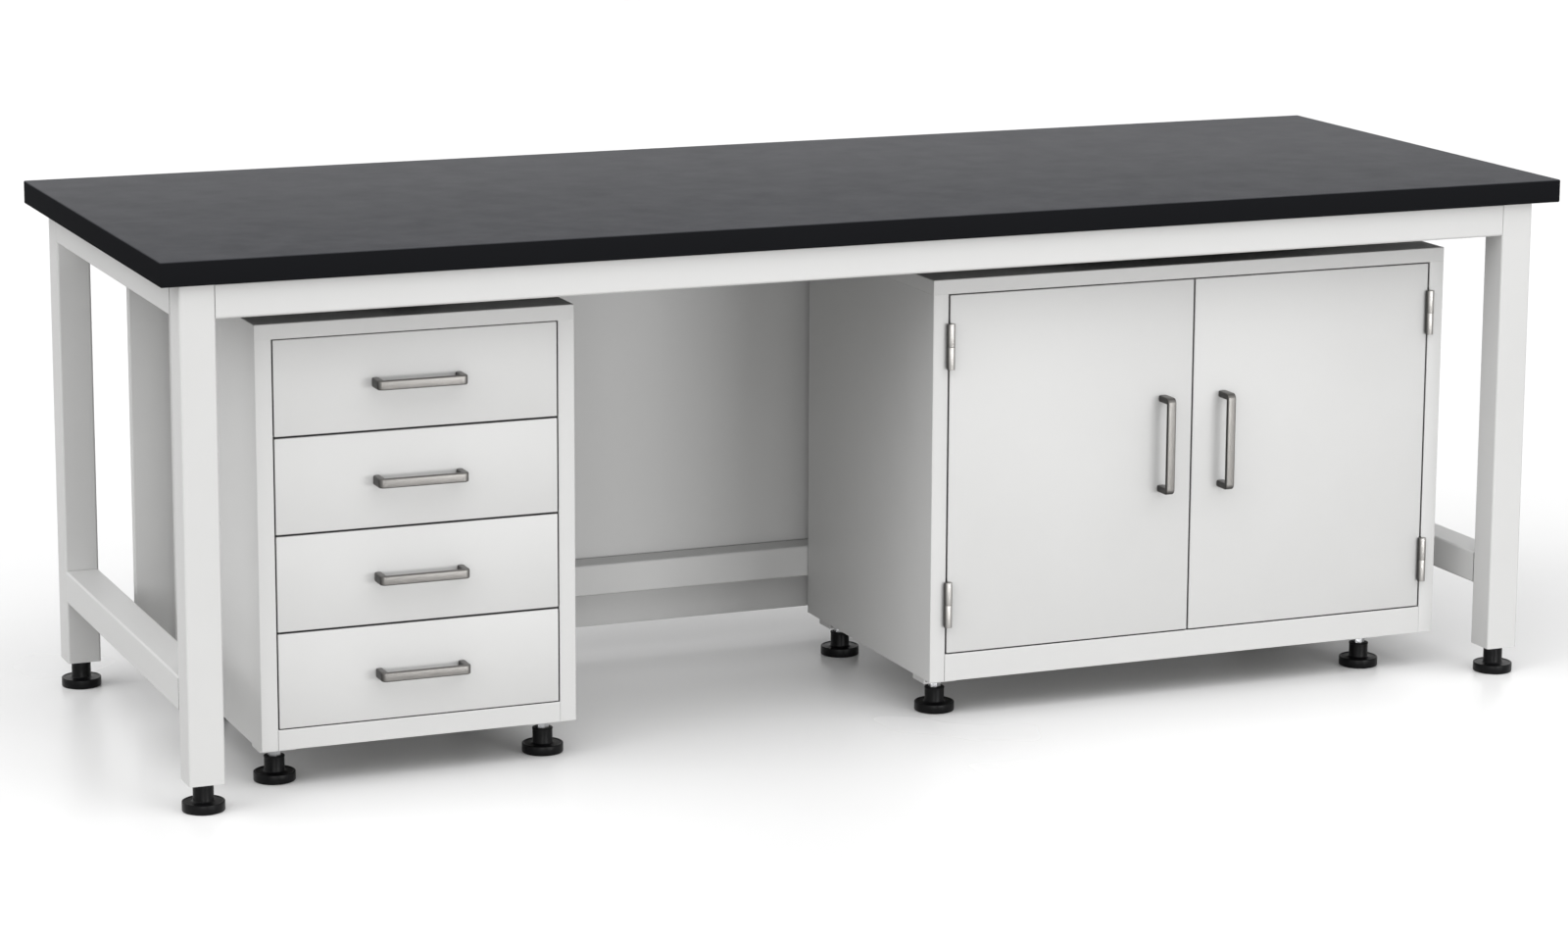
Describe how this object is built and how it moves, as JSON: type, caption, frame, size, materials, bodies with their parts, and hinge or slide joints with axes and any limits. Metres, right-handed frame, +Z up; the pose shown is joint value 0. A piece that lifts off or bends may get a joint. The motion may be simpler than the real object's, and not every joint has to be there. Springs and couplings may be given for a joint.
{
  "type": "laboratory bench",
  "caption": "Laboratory bench: dark worktop on a white steel tube frame on levelling feet, with a drawer unit and a two-door cabinet standing under it.",
  "frame": {"origin": "on the floor under the middle of the worktop", "axes": "+X along the bench to the right as the user faces it, +Y to the rear, +Z up"},
  "size_m": [2.4, 0.9, 0.85],
  "materials": {
    "charcoal_resin": "matte",
    "white_powder_coat": "satin",
    "zinc_plated_steel": "satin",
    "brushed_nickel": "brushed",
    "black_plastic": "matte"
  },
  "bodies": {
    "bench": {"worktop": "charcoal_resin", "rear_batten": "black_plastic", "front_left_leg": "white_powder_coat", "front_right_leg": "white_powder_coat", "rear_left_leg": "white_powder_coat", "rear_right_leg": "white_powder_coat", "left_top_rail": "white_powder_coat", "right_top_rail": "white_powder_coat", "left_lower_rail": "white_powder_coat", "right_lower_rail": "white_powder_coat", "front_top_rail": "white_powder_coat", "rear_top_rail": "white_powder_coat", "long_stretcher": "white_powder_coat", "back_panel": "white_powder_coat", "leg_foot_plates": "zinc_plated_steel", "drawer_unit_cap": "white_powder_coat", "drawer_unit_left_side": "white_powder_coat", "drawer_unit_right_side": "white_powder_coat", "drawer_unit_back": "white_powder_coat", "drawer_unit_bottom": "white_powder_coat", "drawer_unit_runners": "zinc_plated_steel", "cabinet_cap": "white_powder_coat", "cabinet_left_side": "white_powder_coat", "cabinet_right_side": "white_powder_coat", "cabinet_back": "white_powder_coat", "cabinet_bottom": "white_powder_coat", "cabinet_shelf": "white_powder_coat", "cabinet_hinge_pins": "brushed_nickel", "unit_foot_brackets": "white_powder_coat"},
    "drawer_1": {"drawer_1_front": "white_powder_coat", "drawer_1_box": "white_powder_coat", "drawer_1_handle": "brushed_nickel"},
    "drawer_2": {"drawer_2_front": "white_powder_coat", "drawer_2_box": "white_powder_coat", "drawer_2_handle": "brushed_nickel"},
    "drawer_3": {"drawer_3_front": "white_powder_coat", "drawer_3_box": "white_powder_coat", "drawer_3_handle": "brushed_nickel"},
    "drawer_4": {"drawer_4_front": "white_powder_coat", "drawer_4_box": "white_powder_coat", "drawer_4_handle": "brushed_nickel"},
    "left_door": {"left_door": "white_powder_coat", "left_door_handle": "brushed_nickel", "left_door_hinges": "brushed_nickel"},
    "right_door": {"right_door": "white_powder_coat", "right_door_handle": "brushed_nickel", "right_door_hinges": "brushed_nickel"},
    "front_left_leg_foot_body": {"front_left_leg_foot": "black_plastic"},
    "front_right_leg_foot_body": {"front_right_leg_foot": "black_plastic"},
    "rear_left_leg_foot_body": {"rear_left_leg_foot": "black_plastic"},
    "rear_right_leg_foot_body": {"rear_right_leg_foot": "black_plastic"},
    "drawer_unit_front_left_foot_body": {"drawer_unit_front_left_foot": "black_plastic"},
    "drawer_unit_front_right_foot_body": {"drawer_unit_front_right_foot": "black_plastic"},
    "drawer_unit_rear_left_foot_body": {"drawer_unit_rear_left_foot": "black_plastic"},
    "drawer_unit_rear_right_foot_body": {"drawer_unit_rear_right_foot": "black_plastic"},
    "cabinet_front_left_foot_body": {"cabinet_front_left_foot": "black_plastic"},
    "cabinet_front_right_foot_body": {"cabinet_front_right_foot": "black_plastic"},
    "cabinet_rear_left_foot_body": {"cabinet_rear_left_foot": "black_plastic"},
    "cabinet_rear_right_foot_body": {"cabinet_rear_right_foot": "black_plastic"}
  },
  "joints": [
    {"name": "drawer_1_slide", "type": "slide", "parent": "bench", "child": "drawer_1", "axis": [0, -1, 0], "range_m": [0, 0.34]},
    {"name": "drawer_2_slide", "type": "slide", "parent": "bench", "child": "drawer_2", "axis": [0, -1, 0], "range_m": [0, 0.34]},
    {"name": "drawer_3_slide", "type": "slide", "parent": "bench", "child": "drawer_3", "axis": [0, -1, 0], "range_m": [0, 0.34]},
    {"name": "drawer_4_slide", "type": "slide", "parent": "bench", "child": "drawer_4", "axis": [0, -1, 0], "range_m": [0, 0.34]},
    {"name": "left_door_hinge", "type": "hinge", "parent": "bench", "child": "left_door", "pos_m": [0.1215, -0.3578, 0.4], "axis": [0, 0, -1], "range_deg": [0, 120]},
    {"name": "right_door_hinge", "type": "hinge", "parent": "bench", "child": "right_door", "pos_m": [1.0105, -0.3578, 0.4], "axis": [0, 0, 1], "range_deg": [0, 120]},
    {"name": "front_left_leg_foot_screw", "type": "slide", "parent": "bench", "child": "front_left_leg_foot_body", "axis": [0, 0, -1], "range_m": [0, 0.015]},
    {"name": "front_right_leg_foot_screw", "type": "slide", "parent": "bench", "child": "front_right_leg_foot_body", "axis": [0, 0, -1], "range_m": [0, 0.015]},
    {"name": "rear_left_leg_foot_screw", "type": "slide", "parent": "bench", "child": "rear_left_leg_foot_body", "axis": [0, 0, -1], "range_m": [0, 0.015]},
    {"name": "rear_right_leg_foot_screw", "type": "slide", "parent": "bench", "child": "rear_right_leg_foot_body", "axis": [0, 0, -1], "range_m": [0, 0.015]},
    {"name": "drawer_unit_front_left_foot_screw", "type": "slide", "parent": "bench", "child": "drawer_unit_front_left_foot_body", "axis": [0, 0, -1], "range_m": [0, 0.015]},
    {"name": "drawer_unit_front_right_foot_screw", "type": "slide", "parent": "bench", "child": "drawer_unit_front_right_foot_body", "axis": [0, 0, -1], "range_m": [0, 0.015]},
    {"name": "drawer_unit_rear_left_foot_screw", "type": "slide", "parent": "bench", "child": "drawer_unit_rear_left_foot_body", "axis": [0, 0, -1], "range_m": [0, 0.015]},
    {"name": "drawer_unit_rear_right_foot_screw", "type": "slide", "parent": "bench", "child": "drawer_unit_rear_right_foot_body", "axis": [0, 0, -1], "range_m": [0, 0.015]},
    {"name": "cabinet_front_left_foot_screw", "type": "slide", "parent": "bench", "child": "cabinet_front_left_foot_body", "axis": [0, 0, -1], "range_m": [0, 0.015]},
    {"name": "cabinet_front_right_foot_screw", "type": "slide", "parent": "bench", "child": "cabinet_front_right_foot_body", "axis": [0, 0, -1], "range_m": [0, 0.015]},
    {"name": "cabinet_rear_left_foot_screw", "type": "slide", "parent": "bench", "child": "cabinet_rear_left_foot_body", "axis": [0, 0, -1], "range_m": [0, 0.015]},
    {"name": "cabinet_rear_right_foot_screw", "type": "slide", "parent": "bench", "child": "cabinet_rear_right_foot_body", "axis": [0, 0, -1], "range_m": [0, 0.015]}
  ]
}
